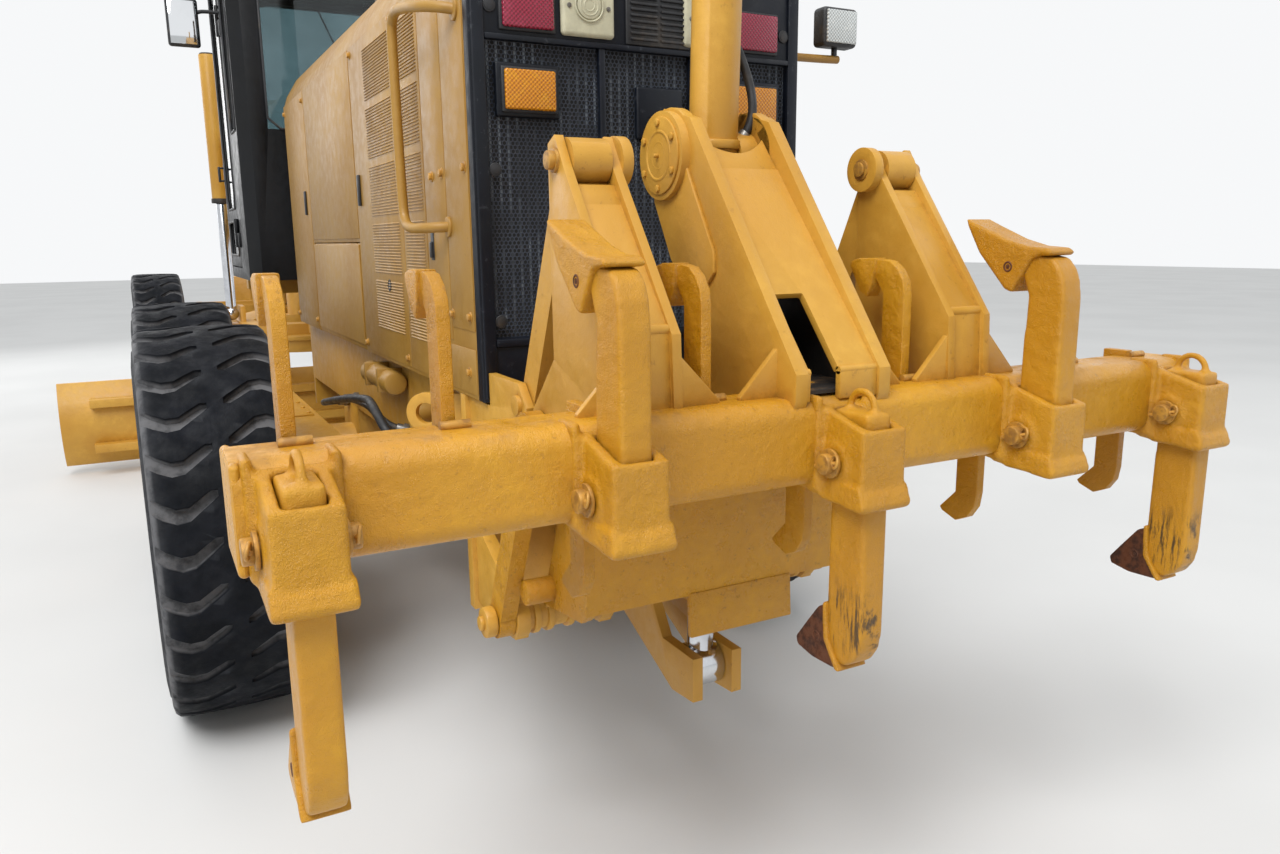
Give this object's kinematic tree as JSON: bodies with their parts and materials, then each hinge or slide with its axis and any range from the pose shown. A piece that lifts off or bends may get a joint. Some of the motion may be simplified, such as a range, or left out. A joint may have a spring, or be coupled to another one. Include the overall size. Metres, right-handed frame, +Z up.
{
  "type": "motor grader",
  "caption": "Road grader with an articulated frame, tandem rear wheels, leaning front wheels, a blade on a turning circle, a closed cab and a rear ripper on parallel links.",
  "frame": {"origin": "middle of the machine's box on the ground", "axes": "+X forward, +Y to the machine's left, +Z up"},
  "size_m": [10.048, 3.658, 3.356],
  "materials": {
    "yellow_paint": "semi-gloss yellow paint, worn",
    "black_paint": "satin black paint",
    "tyre": "worn black rubber",
    "cast": "dull dark metal",
    "steel": "polished rod",
    "wear_steel": "rusty bare steel",
    "lamp": "ribbed lens",
    "glass": "clear",
    "seat": "dark upholstery"
  },
  "bodies": {
    "rear": {"rear_frame": "yellow_paint", "rear_axle": "yellow_paint", "ripper_mount": "yellow_paint", "hood": "yellow_paint", "rear_grille": "black_paint", "radiator_core": "cast", "engine_block": "cast", "side_tanks": "yellow_paint", "rear_lamps": "lamp", "exhaust_stack": "cast", "grab_rails": "yellow_paint"},
    "front": {"front_frame": "yellow_paint", "cab_shell": "black_paint", "cab_glass": "glass", "seat_and_console": "seat", "mirrors": "black_paint", "lift_saddle": "yellow_paint", "lift_barrels": "yellow_paint"},
    "door_left": {"door_left": "black_paint"},
    "door_right": {"door_right": "black_paint"},
    "tandem_left": {"tandem_left": "yellow_paint"},
    "tandem_right": {"tandem_right": "yellow_paint"},
    "wheel_left_1": {"tyre_left_1": "tyre", "rim_left_1": "yellow_paint"},
    "wheel_left_2": {"tyre_left_2": "tyre", "rim_left_2": "yellow_paint"},
    "wheel_right_1": {"tyre_right_1": "tyre", "rim_right_1": "yellow_paint"},
    "wheel_right_2": {"tyre_right_2": "tyre", "rim_right_2": "yellow_paint"},
    "front_axle": {"front_axle": "yellow_paint"},
    "lean_left": {"lean_left": "yellow_paint"},
    "lean_right": {"lean_right": "yellow_paint"},
    "lean_bar": {"lean_bar": "yellow_paint"},
    "steer_rod": {"steer_rod": "steel"},
    "knuckle_left": {"knuckle_left": "yellow_paint"},
    "knuckle_right": {"knuckle_right": "yellow_paint"},
    "wheel_front_left": {"tyre_front_left": "tyre", "rim_front_left": "yellow_paint"},
    "wheel_front_right": {"tyre_front_right": "tyre", "rim_front_right": "yellow_paint"},
    "drawbar": {"drawbar": "yellow_paint"},
    "circle": {"blade_circle": "yellow_paint"},
    "blade_carrier": {"blade_carrier": "yellow_paint"},
    "moldboard": {"moldboard": "yellow_paint"},
    "lift_rods": {"lift_rods": "steel"},
    "upper_links": {"upper_links": "yellow_paint"},
    "lower_link": {"lower_link": "yellow_paint"},
    "ripper": {"ripper_beam": "yellow_paint", "ripper_towers": "yellow_paint", "ripper_pockets": "yellow_paint", "ripper_shanks": "yellow_paint", "shank_tips": "wear_steel", "scarifier_shanks": "yellow_paint", "ripper_pins": "yellow_paint"},
    "ripper_barrel": {"ripper_barrel": "yellow_paint"},
    "ripper_rod": {"ripper_rod": "steel"}
  },
  "joints": [
    {"name": "articulation", "type": "hinge", "parent": "rear", "child": "front", "pos_m": [-0.626, 0, 1.07], "axis": [0, 0, 1], "range_deg": [-20, 20]},
    {"name": "door_left_hinge", "type": "hinge", "parent": "front", "child": "door_left", "pos_m": [-0.406, 0.702, 2.3], "axis": [0, 0, 1], "range_deg": [0, 80]},
    {"name": "door_right_hinge", "type": "hinge", "parent": "front", "child": "door_right", "pos_m": [-0.406, -0.702, 2.3], "axis": [0, 0, 1], "range_deg": [-80, 0]},
    {"name": "tandem_left_rock", "type": "hinge", "parent": "rear", "child": "tandem_left", "pos_m": [-1.976, 0.7, 0.68406], "axis": [0, 1, 0], "range_deg": [-15, 15]},
    {"name": "wheel_left_1_spin", "type": "hinge", "parent": "tandem_left", "child": "wheel_left_1", "pos_m": [-2.7375, 1.07, 0.68406], "axis": [0, 1, 0], "continuous": true},
    {"name": "wheel_left_2_spin", "type": "hinge", "parent": "tandem_left", "child": "wheel_left_2", "pos_m": [-1.2145, 1.07, 0.68406], "axis": [0, 1, 0], "continuous": true},
    {"name": "tandem_right_rock", "type": "hinge", "parent": "rear", "child": "tandem_right", "pos_m": [-1.976, -0.7, 0.68406], "axis": [0, 1, 0], "range_deg": [-15, 15]},
    {"name": "wheel_right_1_spin", "type": "hinge", "parent": "tandem_right", "child": "wheel_right_1", "pos_m": [-2.7375, -1.07, 0.68406], "axis": [0, 1, 0], "continuous": true},
    {"name": "wheel_right_2_spin", "type": "hinge", "parent": "tandem_right", "child": "wheel_right_2", "pos_m": [-1.2145, -1.07, 0.68406], "axis": [0, 1, 0], "continuous": true},
    {"name": "front_axle_rock", "type": "hinge", "parent": "front", "child": "front_axle", "pos_m": [4.11, 0, 0.86], "axis": [1, 0, 0], "range_deg": [-16, 16]},
    {"name": "lean_left_hinge", "type": "hinge", "parent": "front_axle", "child": "lean_left", "pos_m": [4.11, 0.7, 0.66], "axis": [1, 0, 0], "range_deg": [-18, 18]},
    {"name": "lean_right_hinge", "type": "hinge", "parent": "front_axle", "child": "lean_right", "pos_m": [4.11, -0.7, 0.66], "axis": [1, 0, 0], "range_deg": [-18, 18]},
    {"name": "lean_bar_hinge", "type": "hinge", "parent": "lean_left", "child": "lean_bar", "pos_m": [4.11, 0.7, 1.05], "axis": [1, 0, 0], "range_deg": [-18, 18]},
    {"name": "steer_left", "type": "hinge", "parent": "lean_left", "child": "knuckle_left", "pos_m": [4.11, 0.88, 0.66], "axis": [0, 0, 1], "range_deg": [-47.5, 47.5]},
    {"name": "steer_right", "type": "hinge", "parent": "lean_right", "child": "knuckle_right", "pos_m": [4.11, -0.88, 0.66], "axis": [0, 0, 1], "range_deg": [-47.5, 47.5]},
    {"name": "steer_rod_slide", "type": "slide", "parent": "front_axle", "child": "steer_rod", "axis": [0, 1, 0], "range_m": [-0.16, 0.16]},
    {"name": "wheel_front_left_spin", "type": "hinge", "parent": "knuckle_left", "child": "wheel_front_left", "pos_m": [4.11, 1.07, 0.68406], "axis": [0, 1, 0], "continuous": true},
    {"name": "wheel_front_right_spin", "type": "hinge", "parent": "knuckle_right", "child": "wheel_front_right", "pos_m": [4.11, -1.07, 0.68406], "axis": [0, 1, 0], "continuous": true},
    {"name": "blade_lift", "type": "hinge", "parent": "front", "child": "drawbar", "pos_m": [3.674, 0, 0.985], "axis": [0, 1, 0], "range_deg": [-15, 10.5]},
    {"name": "lift_rods_slide", "type": "slide", "parent": "front", "child": "lift_rods", "axis": [0, 0, 1], "range_m": [-0.52, 0.37]},
    {"name": "circle_turn", "type": "hinge", "parent": "drawbar", "child": "circle", "pos_m": [1.724, 0, 0.895], "axis": [0, 0, 1], "range_deg": [-40, 40]},
    {"name": "blade_tip", "type": "hinge", "parent": "circle", "child": "blade_carrier", "pos_m": [1.224, 0, 0.33], "axis": [0, 1, 0], "range_deg": [-5, 40]},
    {"name": "blade_side_shift", "type": "slide", "parent": "blade_carrier", "child": "moldboard", "axis": [0, 1, 0], "range_m": [-0.5, 0.5]},
    {"name": "ripper_lift", "type": "hinge", "parent": "rear", "child": "upper_links", "pos_m": [-4.29175, 0, 1.2669], "axis": [0, -1, 0], "range_deg": [0, 118]},
    {"name": "ripper_level", "type": "hinge", "parent": "upper_links", "child": "ripper", "pos_m": [-4.551, 0, 1.808], "axis": [0, -1, 0], "range_deg": [-118, 0]},
    {"name": "ripper_lower_link", "type": "hinge", "parent": "rear", "child": "lower_link", "pos_m": [-4.17575, 0, 0.6899], "axis": [0, -1, 0], "range_deg": [0, 118]},
    {"name": "ripper_barrel_swing", "type": "hinge", "parent": "ripper", "child": "ripper_barrel", "pos_m": [-4.393, 0, 1.839], "axis": [0, -1, 0], "range_deg": [0, 25.6]},
    {"name": "ripper_rod_slide", "type": "slide", "parent": "ripper_barrel", "child": "ripper_rod", "axis": [0.0432, 0, -0.9991], "range_m": [-1, 0]}
  ],
  "couplings": [
    {"joint": "lean_right_hinge", "follows": "lean_left_hinge", "ratio": 1},
    {"joint": "lean_bar_hinge", "follows": "lean_left_hinge", "ratio": -1},
    {"joint": "steer_right", "follows": "steer_left", "ratio": 1},
    {"joint": "steer_rod_slide", "follows": "steer_left", "m_per_rad": -0.15},
    {"joint": "lift_rods_slide", "follows": "blade_lift", "m_per_rad": 1.93},
    {"joint": "ripper_level", "follows": "ripper_lift", "ratio": -1},
    {"joint": "ripper_lower_link", "follows": "ripper_lift", "ratio": 1},
    {"joint": "ripper_barrel_swing", "follows": "ripper_lift", "ratio": 0.21241},
    {"joint": "ripper_rod_slide", "follows": "ripper_lift", "m_per_rad": -0.47953}
  ]
}
